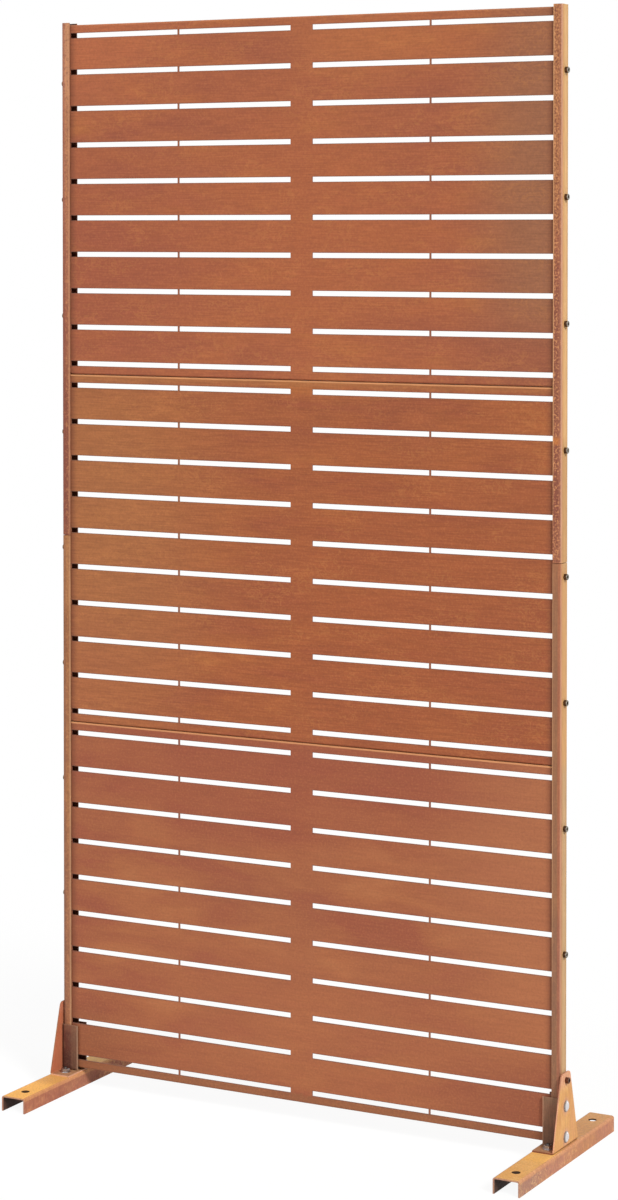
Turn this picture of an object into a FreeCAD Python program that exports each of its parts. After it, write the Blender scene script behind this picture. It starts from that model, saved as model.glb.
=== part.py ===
import FreeCAD, Part
import os

import Sketcher

# Free-standing garden privacy screen in weathering steel, in millimetres.
# Three slotted trays stand one on another between two channel posts. Each post
# stands in a bracket and a clamp on a channel foot, and everything is bolted.
# The origin is on the ground, midway between the feet. +X runs along the screen
# to the right, +Y to the back and +Z up.

SIZES = (
    # alias, value, what it is
    ("panel_width", 943, "tray, overall width"),
    ("panel_pitch", 609.6, "height that each tray takes up in the stack"),
    ("panel_gap", 1, "open seam between two trays"),
    ("panel_depth", 21, "tray, front face to the edge of its flanges"),
    ("panel_sheet", 2, "tray, sheet thickness"),
    ("panel_bend", 1, "tray, inside radius of its bends"),
    ("corner_relief", 3.5, "square notch where two flanges meet"),
    ("slot_rows", 10, "rows of slots in one tray"),
    ("slot_inset", 18.55, "from the tray's lower or upper edge to its nearest row of slots"),
    ("slot_height", 8.5, "slot, height"),
    ("slot_margin", 13.8, "from the tray's end to the nearest slot"),
    ("slot_tie", 3, "thin tie between the two slots of one column"),
    ("centre_web", 41.4, "solid strip between the two columns"),
    ("post_lip", 15.5, "post channel, width of its lips"),
    ("post_sheet", 2, "post channel, sheet thickness"),
    ("post_bend", 1, "post channel, inside radius of its bends"),
    ("post_rise", 4, "how far the post stands above the top tray"),
    ("upper_post", 895, "upper post section, length"),
    ("post_seam", 1, "open seam between the two post sections"),
    ("side_fit", 0.5, "gap from the tray's end to the post's web"),
    ("depth_fit", 0.5, "gap from the tray to each lip of the post"),
    ("tray_lift", 5, "gap from the post's foot to the lowest tray"),
    ("bracket_sheet", 2.5, "bracket, plate thickness"),
    ("bracket_bend", 1.5, "bracket, inside radius of its bend"),
    ("bracket_crown", 12.4, "bracket, from its top screw to its upper edge"),
    ("bracket_base", 98, "bracket, width at the foot"),
    ("bracket_top", 34, "bracket, width at the top"),
    ("bracket_corner", 8, "bracket, radius of the two top corners"),
    ("bracket_reach", 38, "bracket, depth of its base flange"),
    ("clamp_sheet", 2, "clamp, sheet thickness"),
    ("clamp_bend", 1, "clamp, inside radius of its bends"),
    ("clamp_leg", 32, "clamp, length of its legs"),
    ("clamp_height", 77, "clamp, height"),
    ("clamp_fit", 0.3, "gap from the clamp's legs to the post"),
    ("clamp_lift", 0.5, "gap from the bracket's bend to the clamp"),
    ("foot_length", 386, "foot channel, length front to back"),
    ("foot_width", 46, "foot channel, width"),
    ("foot_height", 26, "foot channel, height"),
    ("foot_sheet", 2.5, "foot channel, sheet thickness"),
    ("foot_bend", 1.5, "foot channel, inside radius of its bends"),
    ("foot_margin", 4.5, "from the bracket's face to the foot's outer side"),
    ("anchor_hole", 14, "hole for a ground anchor, diameter"),
    ("anchor_inset", 38, "from the foot's end to the anchor hole"),
    ("screw_inset", 101.1, "from a tray's lower or upper edge to its nearest side screw"),
    ("screw_size", 6, "side screw, shank diameter"),
    ("screw_grip", 8, "side screw, shank beyond the two sheets it joins"),
    ("screw_head", 10, "side screw, head diameter"),
    ("screw_head_height", 6, "side screw, head height"),
    ("screw_key", 5, "side screw, hex socket across flats"),
    ("screw_key_depth", 3, "side screw, socket depth"),
    ("screw_hole", 6.6, "clearance hole for a side screw"),
    ("small_nut", 10, "side screw's nut, across flats"),
    ("small_nut_height", 5, "side screw's nut, height"),
    ("thread_fit", 0.1, "gap from a thread's crest to its nut"),
    ("coach_size", 8, "coach bolt and base bolt, shank diameter"),
    ("coach_head", 19, "coach bolt, diameter of its domed head"),
    ("coach_dome", 4.5, "coach bolt, height of the dome"),
    ("coach_neck", 8, "coach bolt, square neck across flats"),
    ("coach_neck_hole", 8.4, "square hole for the coach bolt's neck"),
    ("coach_hole", 9, "round clearance hole for a coach bolt or base bolt"),
    ("coach_grip", 9, "coach bolt, shank beyond the sheets it joins"),
    ("coach_nut", 13, "coach bolt's and base bolt's nut, across flats"),
    ("coach_nut_height", 6.5, "the same nut, height"),
    ("coach_low", 16.5, "from the foot's top to the lower coach bolt"),
    ("coach_rise", 50, "from the lower coach bolt to the upper one"),
    ("base_bolt_spread", 58, "between the front and rear base bolts"),
    ("base_head_height", 5.3, "base bolt, height of its hex head"),
    ("base_grip", 9, "base bolt, shank beyond the two plates it joins"),
)

PANELS = ("bottom_panel", "middle_panel", "top_panel")
SIDES = ("left", "right")
SCREWS_PER_PANEL = 3

# Heights and faces that several pieces share, as formulas of the sheet.
PANEL_HEIGHT = "(sizes.panel_pitch - sizes.panel_gap)"
POST_DEPTH = "(sizes.panel_depth + 2 * sizes.depth_fit + 2 * sizes.post_sheet)"
POST_FACE = "(sizes.panel_width / 2 + sizes.side_fit + sizes.post_sheet)"
CLAMP_FACE = f"({POST_FACE} + sizes.clamp_sheet)"
BRACKET_FACE = f"({CLAMP_FACE} + sizes.bracket_sheet)"
FOOT_CENTRE = f"({BRACKET_FACE} + sizes.foot_margin - sizes.foot_width / 2)"
POST_BOTTOM = "(sizes.foot_height + sizes.bracket_sheet)"
STACK_BOTTOM = f"({POST_BOTTOM} + sizes.tray_lift)"
STACK_HEIGHT = f"({len(PANELS)} * sizes.panel_pitch - sizes.panel_gap)"
POST_TOP = f"({STACK_BOTTOM} + {STACK_HEIGHT} + sizes.post_rise)"
UPPER_POST_BOTTOM = f"({POST_TOP} - sizes.upper_post)"
LOWER_POST = f"({UPPER_POST_BOTTOM} - sizes.post_seam - {POST_BOTTOM})"
CLAMP_BOTTOM = f"({POST_BOTTOM} + sizes.bracket_bend + sizes.clamp_lift)"
TRAY_WALL = "(sizes.panel_width / 2 - sizes.panel_sheet)"
COACH_BOLTS = (
    "(sizes.foot_height + sizes.coach_low)",
    "(sizes.foot_height + sizes.coach_low + sizes.coach_rise)",
)
BASE_BOLT_ROWS = ("-sizes.base_bolt_spread / 2", "sizes.base_bolt_spread / 2")

doc = FreeCAD.newDocument("garden_screen")
sheet = doc.addObject("Spreadsheet::Sheet", "sizes")


def fill_sheet():
    """Write every driving size, its alias and its description to the sheet."""
    for row, (alias, number, note) in enumerate(SIZES, 1):
        sheet.set(f"A{row}", note)
        sheet.set(f"B{row}", str(number))
        sheet.setAlias(f"B{row}", alias)
    doc.recompute()


def value(formula):
    """Number that a formula of the sheet comes to."""
    return float(sheet.evalExpression(formula))


def bind(thing, **formulas):
    """Tie properties of an object to formulas of the sheet."""
    for name, formula in formulas.items():
        thing.setExpression(name, formula)


def screw_heights(row):
    """Formulas for the heights of the side screws of one tray of the stack."""
    lowest = f"{STACK_BOTTOM} + {row} * sizes.panel_pitch + sizes.screw_inset"
    pitch = f"({PANEL_HEIGHT} - 2 * sizes.screw_inset) / {SCREWS_PER_PANEL - 1}"
    return [f"({lowest} + {step} * {pitch})" for step in range(SCREWS_PER_PANEL)]


ALL_SCREWS = [height for row in range(len(PANELS)) for height in screw_heights(row)]
BRACKET_SCREW = ALL_SCREWS[0]
BRACKET_HEIGHT = f"({BRACKET_SCREW} + sizes.bracket_crown - sizes.foot_height)"


# ---------------------------------------------------------------- sketching

def new_body(name):
    """An empty body under its own name."""
    body = doc.addObject("PartDesign::Body", name)
    body.Label = name
    return body


def new_sketch(body, name, plane):
    """A sketch on one of the body's own origin planes."""
    sketch = body.newObject("Sketcher::SketchObject", f"{body.Name}_{name}")
    support = [item for item in body.Origin.OriginFeatures if item.Role == plane]
    sketch.AttachmentSupport = [(support[0], "")]
    sketch.MapMode = "FlatFace"
    return sketch


def pin_point(sketch, geometry, point, across, up):
    """Hold a point of the sketch at two distances from the origin."""
    for kind, formula in (("DistanceX", across), ("DistanceY", up)):
        place = sketch.addConstraint(
            Sketcher.Constraint(kind, -1, 1, geometry, point, value(formula))
        )
        sketch.setExpression(f"Constraints[{place}]", formula)


def draw_polygon(sketch, corners):
    """Closed outline through corners, each a pair of formulas."""
    points = [FreeCAD.Vector(value(across), value(up), 0) for across, up in corners]
    first = sketch.GeometryCount
    for here, there in zip(points, points[1:] + points[:1]):
        sketch.addGeometry(Part.LineSegment(here, there), False)
    for index, (across, up) in enumerate(corners):
        before = first + (index - 1) % len(corners)
        joint = Sketcher.Constraint("Coincident", before, 2, first + index, 1)
        sketch.addConstraint(joint)
        pin_point(sketch, first + index, 1, across, up)


def draw_rectangle(sketch, left, right, bottom, top):
    """Upright rectangle between four formulas."""
    corners = ((left, bottom), (right, bottom), (right, top), (left, top))
    draw_polygon(sketch, corners)


def draw_circle(sketch, across, up, diameter):
    """Circle about a centre given by two formulas."""
    centre = FreeCAD.Vector(value(across), value(up), 0)
    up_axis = FreeCAD.Vector(0, 0, 1)
    circle = sketch.addGeometry(Part.Circle(centre, up_axis, value(diameter) / 2), False)
    pin_point(sketch, circle, 3, across, up)
    size = sketch.addConstraint(Sketcher.Constraint("Diameter", circle, value(diameter)))
    sketch.setExpression(f"Constraints[{size}]", diameter)


# ------------------------------------------------------------- sheet pieces

def edge_names(shape, wanted):
    """Names of the edges of a shape that a test picks."""
    return [f"Edge{index}" for index, edge in enumerate(shape.Edges, 1) if wanted(edge)]


def flat_face_names(shape, directions):
    """Names of the flat faces that look along one of the directions."""
    names = []
    for index, face in enumerate(shape.Faces, 1):
        if face.Surface.TypeId != "Part::GeomPlane":
            continue
        normal = face.normalAt(0, 0)
        if any(normal.dot(FreeCAD.Vector(*way)) > 0.999 for way in directions):
            names.append(f"Face{index}")
    return names


def bend_sheet(body, sketch, length, bends, openings, stock, inside, midplane=False):
    """Bent sheet: a block with rounded bends, hollowed to the sheet's thickness.

    bends picks the outer edges that are bends, openings lists the directions in
    which the block is open, stock is the thickness and inside the bend radius.
    """
    block = body.newObject("PartDesign::Pad", f"{body.Name}_block")
    block.Profile = sketch
    block.Midplane = midplane
    bind(block, Length=length)
    doc.recompute()
    rounding = body.newObject("PartDesign::Fillet", f"{body.Name}_bends")
    rounding.Base = (block, edge_names(block.Shape, bends))
    bind(rounding, Radius=f"{stock} + {inside}")
    doc.recompute()
    shell = body.newObject("PartDesign::Thickness", f"{body.Name}_sheet")
    shell.Base = (rounding, flat_face_names(rounding.Shape, openings))
    shell.Reversed = True
    bind(shell, Value=stock)
    doc.recompute()
    return shell


def cut_through(body, sketch):
    """Cut a sketch's outline right through the body, both ways."""
    before = body.Shape.Volume
    cut = body.newObject("PartDesign::Pocket", f"{sketch.Name}_cut")
    cut.Profile = sketch
    cut.Type = "ThroughAll"
    cut.Midplane = True
    doc.recompute()
    if body.Shape.Volume >= before:
        raise RuntimeError(f"{cut.Name} removes nothing")
    return cut


def drill(body, name, plane, centres, diameter):
    """Drill round holes of one size through the body, square to a plane."""
    sketch = new_sketch(body, name, plane)
    for across, up in centres:
        draw_circle(sketch, across, up, diameter)
    return cut_through(body, sketch)


def side_turn(side):
    """Turn that takes a piece of the right side to its own side."""
    turn = FreeCAD.Rotation(FreeCAD.Vector(0, 0, 1), 0 if side == "right" else 180)
    return FreeCAD.Placement(FreeCAD.Vector(), turn)


def stand(piece, side, across, up):
    """Place a piece on one side: the left one is the right one turned round."""
    sign = "" if side == "right" else "-"
    piece.Placement = side_turn(side)
    piece.setExpression("Placement.Base.x", f"{sign}{across}")
    piece.setExpression("Placement.Base.z", up)


# -------------------------------------------------------------------- trays

def slot_spans():
    """Left and right ends of the four slots of a row, as formulas."""
    inner = "sizes.centre_web / 2"
    outer = "(sizes.panel_width / 2 - sizes.slot_margin)"
    tie = f"({inner} + {outer}) / 2"
    spans = []
    for start, end in (
        (inner, f"({tie} - sizes.slot_tie / 2)"),
        (f"({tie} + sizes.slot_tie / 2)", outer),
    ):
        spans += [(start, end), (f"-{end}", f"-{start}")]
    return spans


def make_panel(name, row):
    """One tray: face, four flanges, rows of slots and side holes."""
    body = new_body(name)
    outline = new_sketch(body, "outline", "XZ_Plane")
    half = "sizes.panel_width / 2"
    draw_rectangle(outline, f"-{half}", half, "0", PANEL_HEIGHT)
    front = -value("sizes.panel_depth") / 2
    bend_sheet(
        body, outline, "sizes.panel_depth",
        bends=lambda edge: abs(edge.BoundBox.YMax - front) < 1e-6,
        openings=[(0, 1, 0)],
        stock="sizes.panel_sheet", inside="sizes.panel_bend", midplane=True,
    )

    relief = new_sketch(body, "relief", "XZ_Plane")
    inner = f"({half} - sizes.corner_relief)"
    for left, right in ((f"-{half}", f"-{inner}"), (inner, half)):
        draw_rectangle(relief, left, right, "0", "sizes.corner_relief")
        low_edge = f"{PANEL_HEIGHT} - sizes.corner_relief"
        draw_rectangle(relief, left, right, low_edge, PANEL_HEIGHT)
    cut_through(body, relief)

    slots = new_sketch(body, "slots", "XZ_Plane")
    slot_field = f"{PANEL_HEIGHT} - 2 * sizes.slot_inset"
    low, high = (f"sizes.slot_inset {sign} sizes.slot_height / 2" for sign in "-+")
    for left, right in slot_spans():
        draw_rectangle(slots, left, right, low, high)
    first_row = cut_through(body, slots)
    rows = body.newObject("PartDesign::LinearPattern", f"{name}_rows")
    rows.Originals = [first_row]
    rows.Direction = (slots, ["V_Axis"])
    bind(rows, Length=slot_field, Occurrences="sizes.slot_rows")
    body.Tip = rows
    doc.recompute()

    base = f"({STACK_BOTTOM} + {row} * sizes.panel_pitch)"
    screws = [("0", f"{height} - {base}") for height in screw_heights(row)]
    drill(body, "screw_holes", "YZ_Plane", screws, "sizes.screw_hole")
    if row == 0:
        bolts = [("0", f"{height} - {base}") for height in COACH_BOLTS]
        drill(body, "coach_holes", "YZ_Plane", bolts, "sizes.coach_hole")
    body.setExpression("Placement.Base.z", base)
    return body


# ---------------------------------------------------------- posts and clamps

def make_channel(name, depth, lip, length, stock, inside):
    """Upright channel: its web's outer face is at x = 0 and it opens to -X."""
    body = new_body(name)
    outline = new_sketch(body, "outline", "XY_Plane")
    draw_rectangle(outline, f"-{lip}", "0", f"-{depth} / 2", f"{depth} / 2")
    bend_sheet(
        body, outline, length,
        bends=lambda edge: edge.BoundBox.ZLength > 1 and abs(edge.BoundBox.XMax) < 1e-6,
        openings=[(0, 0, 1), (0, 0, -1), (-1, 0, 0)],
        stock=stock, inside=inside,
    )
    return body


def make_post_section(name, side, bottom, length):
    """One section of a post, drilled where it passes screws and bolts."""
    body = make_channel(
        name, POST_DEPTH, "sizes.post_lip", length, "sizes.post_sheet", "sizes.post_bend"
    )
    low = value(bottom)
    high = low + value(length)
    screws = [("0", f"{height} - {bottom}") for height in ALL_SCREWS
              if low < value(height) < high]
    drill(body, "screw_holes", "YZ_Plane", screws, "sizes.screw_hole")
    bolts = [("0", f"{height} - {bottom}") for height in COACH_BOLTS
             if low < value(height) < high]
    if bolts:
        drill(body, "coach_holes", "YZ_Plane", bolts, "sizes.coach_hole")
    stand(body, side, POST_FACE, bottom)
    return body


def make_clamp(side):
    """The wider channel that wraps the post's foot and the tray's corner."""
    depth = f"({POST_DEPTH} + 2 * sizes.clamp_fit + 2 * sizes.clamp_sheet)"
    body = make_channel(
        f"{side}_post_clamp", depth, "sizes.clamp_leg", "sizes.clamp_height",
        "sizes.clamp_sheet", "sizes.clamp_bend",
    )
    bolts = [("0", f"{height} - {CLAMP_BOTTOM}") for height in COACH_BOLTS]
    drill(body, "coach_holes", "YZ_Plane", bolts, "sizes.coach_hole")
    stand(body, side, CLAMP_FACE, CLAMP_BOTTOM)
    return body


# --------------------------------------------------------- brackets and feet

def make_bracket(side):
    """Bent plate: a base flange on the foot and a tapered upright outside the post."""
    body = new_body(f"{side}_bracket")
    outline = new_sketch(body, "outline", "XY_Plane")
    half = "sizes.bracket_base / 2"
    draw_rectangle(outline, "-sizes.bracket_reach", "0", f"-{half}", half)
    bend_sheet(
        body, outline, BRACKET_HEIGHT,
        bends=lambda edge: abs(edge.BoundBox.XMin) < 1e-6 and edge.BoundBox.ZMax < 1e-6,
        openings=[(-1, 0, 0), (0, 1, 0), (0, -1, 0), (0, 0, 1)],
        stock="sizes.bracket_sheet", inside="sizes.bracket_bend",
    )

    taper = new_sketch(body, "taper", "YZ_Plane")
    heel = "(sizes.bracket_sheet + sizes.bracket_bend)"
    for sign in ("-", ""):
        wide, narrow = f"{sign}{half}", f"{sign}sizes.bracket_top / 2"
        draw_polygon(taper, ((wide, heel), (narrow, BRACKET_HEIGHT), (wide, BRACKET_HEIGHT)))
    tapered = cut_through(body, taper)

    height = value(BRACKET_HEIGHT)
    corners = body.newObject("PartDesign::Fillet", f"{body.Name}_corners")
    corners.Base = (tapered, edge_names(
        tapered.Shape,
        lambda edge: edge.BoundBox.XLength > 1 and edge.BoundBox.ZMin > height - 1e-6
        and edge.BoundBox.YLength < 1e-6,
    ))
    bind(corners, Radius="sizes.bracket_corner")
    doc.recompute()

    necks = new_sketch(body, "neck_holes", "YZ_Plane")
    reach = "sizes.coach_neck_hole / 2"
    for bolt in COACH_BOLTS:
        centre = f"{bolt} - sizes.foot_height"
        draw_rectangle(necks, f"-{reach}", reach, f"{centre} - {reach}", f"{centre} + {reach}")
    cut_through(body, necks)
    screw = [("0", f"{BRACKET_SCREW} - sizes.foot_height")]
    drill(body, "screw_hole", "YZ_Plane", screw, "sizes.screw_hole")
    base = [(f"{FOOT_CENTRE} - {BRACKET_FACE}", row) for row in BASE_BOLT_ROWS]
    drill(body, "base_holes", "XY_Plane", base, "sizes.coach_hole")
    stand(body, side, BRACKET_FACE, "sizes.foot_height")
    return body


def make_foot(side):
    """Channel foot, open below, with an anchor hole near each end."""
    body = new_body(f"{side}_foot")
    outline = new_sketch(body, "outline", "XY_Plane")
    half_width, half_length = "sizes.foot_width / 2", "sizes.foot_length / 2"
    draw_rectangle(outline, f"-{half_width}", half_width, f"-{half_length}", half_length)
    top = value("sizes.foot_height")
    bend_sheet(
        body, outline, "sizes.foot_height",
        bends=lambda edge: edge.BoundBox.YLength > 1 and edge.BoundBox.ZMin > top - 1e-6,
        openings=[(0, 0, -1), (0, 1, 0), (0, -1, 0)],
        stock="sizes.foot_sheet", inside="sizes.foot_bend",
    )
    anchor = f"({half_length} - sizes.anchor_inset)"
    anchors = [("0", f"-{anchor}"), ("0", anchor)]
    drill(body, "anchor_holes", "XY_Plane", anchors, "sizes.anchor_hole")
    base = [("0", row) for row in BASE_BOLT_ROWS]
    drill(body, "base_holes", "XY_Plane", base, "sizes.coach_hole")
    stand(body, side, FOOT_CENTRE, "0")
    return body


# ---------------------------------------------------------------- fasteners

def primitive(kind, name, height=0, **formulas):
    """A bound Part primitive, lifted by a formula if one is given."""
    item = doc.addObject(kind, name)
    bind(item, **formulas)
    if height:
        item.setExpression("Placement.Base.z", height)
    return item


def join(name, items):
    """Fuse primitives into one solid."""
    union = doc.addObject("Part::MultiFuse", name)
    union.Shapes = items
    return union


def subtract(name, base, tool):
    """Cut one object from another."""
    cut = doc.addObject("Part::Cut", name)
    cut.Base, cut.Tool = base, tool
    return cut


def circumradius(flats):
    """Corner radius of a hexagon, from its width across flats."""
    return f"{flats} / 2 / cos(30 deg)"


def make_screw_pattern(name, length):
    """Socket screw standing on its shank: the head's seat is at z = 0."""
    head = primitive("Part::Cylinder", f"{name}_head",
                     Radius="sizes.screw_head / 2", Height="sizes.screw_head_height")
    shank = primitive("Part::Cylinder", f"{name}_shank", f"-({length})",
                      Radius="sizes.screw_size / 2", Height=length)
    socket = primitive("Part::Prism", f"{name}_socket",
                       "sizes.screw_head_height - sizes.screw_key_depth",
                       Circumradius=circumradius("sizes.screw_key"),
                       Height="sizes.screw_key_depth")
    return subtract(name, join(f"{name}_blank", [head, shank]), socket)


def make_nut_pattern(name, flats, height, thread):
    """Hexagon nut that sits below z = 0, on the shank of its bolt."""
    block = primitive("Part::Prism", f"{name}_block", f"-{height}",
                      Circumradius=circumradius(flats), Height=height)
    bore = primitive("Part::Cylinder", f"{name}_bore", f"-{height}",
                     Radius=f"{thread} / 2 + sizes.thread_fit", Height=height)
    return subtract(name, block, bore)


def make_coach_bolt_pattern(name, length):
    """Coach bolt: a domed head on z = 0, a square neck and a shank below."""
    half, rise = "(sizes.coach_head / 2)", "sizes.coach_dome"
    ball = f"(({half} ^ 2 + {rise} ^ 2) / (2 * {rise}))"
    dome = primitive("Part::Sphere", f"{name}_dome", f"-({ball} - {rise})",
                     Radius=ball, Angle1=f"asin(({ball} - {rise}) / {ball})")
    neck_height = "sizes.bracket_sheet"
    neck = primitive("Part::Box", f"{name}_neck", f"-{neck_height}",
                     Length="sizes.coach_neck", Width="sizes.coach_neck", Height=neck_height)
    for axis in ("x", "y"):
        neck.setExpression(f"Placement.Base.{axis}", "-sizes.coach_neck / 2")
    shank = primitive("Part::Cylinder", f"{name}_shank", f"-({length})",
                      Radius="sizes.coach_size / 2", Height=length)
    return join(name, [dome, neck, shank])


def make_hex_bolt_pattern(name, length):
    """Hexagon bolt with its head above z = 0 and its shank below."""
    head = primitive("Part::Prism", f"{name}_head",
                     Circumradius=circumradius("sizes.coach_nut"),
                     Height="sizes.base_head_height")
    shank = primitive("Part::Cylinder", f"{name}_shank", f"-({length})",
                      Radius="sizes.coach_size / 2", Height=length)
    return join(name, [head, shank])


OUTWARD = FreeCAD.Rotation(FreeCAD.Vector(0, 1, 0), 90)
FLAT_DOWN = OUTWARD.multiply(FreeCAD.Rotation(FreeCAD.Vector(0, 0, 1), 30))
DOWNWARD = FreeCAD.Rotation(FreeCAD.Vector(1, 0, 0), 180)


def make_group(name, sides, pattern, turn, places):
    """Node of separate copies of one fastener, on one side of the screen or on both.

    places are given as formulas for the right side.
    """
    copies = []
    for side in sides:
        for place in places:
            copy = pattern.Shape.copy()
            spot = FreeCAD.Vector(*(value(formula) for formula in place))
            copy.Placement = side_turn(side) * FreeCAD.Placement(spot, turn)
            copies.append(copy)
    group = doc.addObject("Part::Feature", name)
    group.Label = name
    group.Shape = Part.makeCompound(copies)
    return group


def make_fasteners():
    """Every screw, bolt and nut, in groups of one kind."""
    joined = "sizes.post_sheet + sizes.side_fit + sizes.panel_sheet"
    stack = f"sizes.bracket_sheet + sizes.clamp_sheet + {joined}"
    plates = "sizes.bracket_sheet + sizes.foot_sheet"
    screw = make_screw_pattern("side_screw", f"{joined} + sizes.screw_grip")
    long_screw = make_screw_pattern("long_screw", f"{stack} + sizes.screw_grip")
    coach_bolt = make_coach_bolt_pattern("coach_bolt", f"{stack} + sizes.coach_grip")
    base_bolt = make_hex_bolt_pattern("base_bolt", f"{plates} + sizes.base_grip")
    small_nut = make_nut_pattern(
        "nut", "sizes.small_nut", "sizes.small_nut_height", "sizes.screw_size"
    )
    coach_nut = make_nut_pattern(
        "big_nut", "sizes.coach_nut", "sizes.coach_nut_height", "sizes.coach_size"
    )
    doc.recompute()

    foot_ceiling = "(sizes.foot_height - sizes.foot_sheet)"
    each_side = (
        ("side_screws", screw, OUTWARD, [(POST_FACE, "0", at) for at in ALL_SCREWS[1:]]),
        ("side_nuts", small_nut, FLAT_DOWN, [(TRAY_WALL, "0", at) for at in ALL_SCREWS]),
    )
    both_sides = (
        ("bracket_screws", long_screw, OUTWARD, [(BRACKET_FACE, "0", BRACKET_SCREW)]),
        ("coach_bolts", coach_bolt, OUTWARD, [(BRACKET_FACE, "0", at) for at in COACH_BOLTS]),
        ("coach_nuts", coach_nut, FLAT_DOWN, [(TRAY_WALL, "0", at) for at in COACH_BOLTS]),
        ("base_bolts", base_bolt, DOWNWARD,
         [(FOOT_CENTRE, row, foot_ceiling) for row in BASE_BOLT_ROWS]),
        ("base_nuts", coach_nut, DOWNWARD,
         [(FOOT_CENTRE, row, POST_BOTTOM) for row in BASE_BOLT_ROWS]),
    )
    groups = [make_group(f"{side}_{kind}", [side], *rest)
              for side in SIDES for kind, *rest in each_side]
    return groups + [make_group(kind, SIDES, *rest) for kind, *rest in both_sides]


# ------------------------------------------------------------ build and save

def build():
    """Make every piece and return the nodes in order."""
    fill_sheet()
    nodes = [make_panel(name, row) for row, name in enumerate(PANELS)]
    for side in SIDES:
        nodes.append(make_post_section(
            f"{side}_upper_post", side, UPPER_POST_BOTTOM, "sizes.upper_post"
        ))
        nodes.append(make_post_section(f"{side}_lower_post", side, POST_BOTTOM, LOWER_POST))
        nodes += [make_clamp(side), make_bracket(side), make_foot(side)]
    nodes += make_fasteners()
    doc.recompute()
    return nodes


def check(nodes):
    """Stop if any object failed or any piece is empty, open or invalid."""
    for item in doc.Objects:
        if "Invalid" in item.State or "Error" in item.State:
            raise RuntimeError(f"{item.Name} failed: {item.State}")
    for node in nodes:
        shape = node.Shape
        if shape.isNull() or not shape.isValid() or not shape.Solids:
            raise RuntimeError(f"{node.Label} has no sound solid")


def save(nodes):
    """Write each piece to its own file, at its place on the screen."""
    os.makedirs("parts", exist_ok=True)
    for node in nodes:
        node.Shape.exportStep(f"parts/{node.Label}.step")
        box = node.Shape.BoundBox
        print(f"{node.Label}: {len(node.Shape.Solids)} solid(s), "
              f"x {box.XMin:.1f}..{box.XMax:.1f}, y {box.YMin:.1f}..{box.YMax:.1f}, "
              f"z {box.ZMin:.1f}..{box.ZMax:.1f}")


all_nodes = build()
check(all_nodes)
save(all_nodes)
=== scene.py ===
"""Garden privacy screen in weathering steel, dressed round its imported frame.

Three slotted trays stand one on another between two channel posts. Each post
stands in a clamp and a bracket on a channel foot. The bent sheet pieces are
the frame's own and get their rust finishes here. Every screw, bolt and nut is
remade in full detail. Lengths are millimetres, unless a name says otherwise.
"""

from __future__ import annotations

import logging
import math
from dataclasses import dataclass
from enum import Enum
from typing import Any, Callable, Sequence

import bpy
from mathutils import Matrix, Vector


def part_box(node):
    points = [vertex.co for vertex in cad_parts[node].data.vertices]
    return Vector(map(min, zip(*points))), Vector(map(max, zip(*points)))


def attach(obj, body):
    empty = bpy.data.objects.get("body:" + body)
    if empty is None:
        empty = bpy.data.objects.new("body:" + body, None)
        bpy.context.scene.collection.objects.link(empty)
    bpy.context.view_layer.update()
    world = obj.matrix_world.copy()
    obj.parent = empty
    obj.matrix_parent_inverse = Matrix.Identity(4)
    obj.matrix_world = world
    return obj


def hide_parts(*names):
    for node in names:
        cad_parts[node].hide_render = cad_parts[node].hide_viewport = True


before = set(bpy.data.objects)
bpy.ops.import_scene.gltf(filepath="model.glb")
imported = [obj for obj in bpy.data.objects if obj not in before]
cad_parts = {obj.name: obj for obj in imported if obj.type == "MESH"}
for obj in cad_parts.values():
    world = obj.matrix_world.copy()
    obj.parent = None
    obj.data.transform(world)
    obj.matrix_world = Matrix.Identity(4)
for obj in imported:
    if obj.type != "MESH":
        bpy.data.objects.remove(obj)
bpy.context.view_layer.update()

LOG = logging.getLogger("garden_screen")
MM = 0.001
# Further than anything on the screen: a zone that is this large has no end.
FAR = 40000.0
Point = tuple[float, float, float]
Span = tuple[float, float]
Colour = tuple[float, float, float, float]
Node, Socket = bpy.types.Node, bpy.types.NodeSocket
Feed = Node | Socket

# The Mix node has five inputs for other kinds of value between its factor and
# its colours, and two such outputs before its colour.
OTHER_INPUTS = (None,) * 5
MIXED_COLOUR = 2


def reach(node: str, axis: int, end: int = 1) -> float:
    """Upper end of a node of the frame along an axis, or with end 0 its lower end."""
    return round(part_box(node)[end][axis] / MM, 3)


# Faces that the fasteners sit on, and edges that the finishes follow.
POST_WEB = reach("right_upper_post", 0)
BRACKET_SHEET = FOOT_SHEET = 2.5
BRACKET_FACE = reach("right_bracket", 0)
BRACKET_TOP = reach("right_bracket", 2)
TRAY_SHEET = 2.0
TRAY_WALL = reach("top_panel", 0) - TRAY_SHEET
FOOT_TOP = reach("right_foot", 2)
FOOT_CENTRE = (reach("right_foot", 0, 0) + reach("right_foot", 0)) / 2
COACH_HEIGHTS = (42.5, 92.5)
LOWEST_SCREW = 134.6


class Side(Enum):
    """The two ends of the screen, with their turn about the upright axis."""

    LEFT = math.pi
    RIGHT = 0.0

    @property
    def word(self) -> str:
        """Name of the side as the frame's nodes spell it."""
        return self.name.lower()

    @property
    def sign(self) -> float:
        """One on the right, minus one on the left."""
        return 1.0 if self is Side.RIGHT else -1.0


class Grain(Enum):
    """Number of the axis along which a sheet's rolling marks run."""

    ALONG_X = 0
    ALONG_Z = 2


class Shape(Enum):
    """Outline of a zone."""

    BALL = "ball"
    BOX = "box"


# ------------------------------------------------------------------ materials

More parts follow.
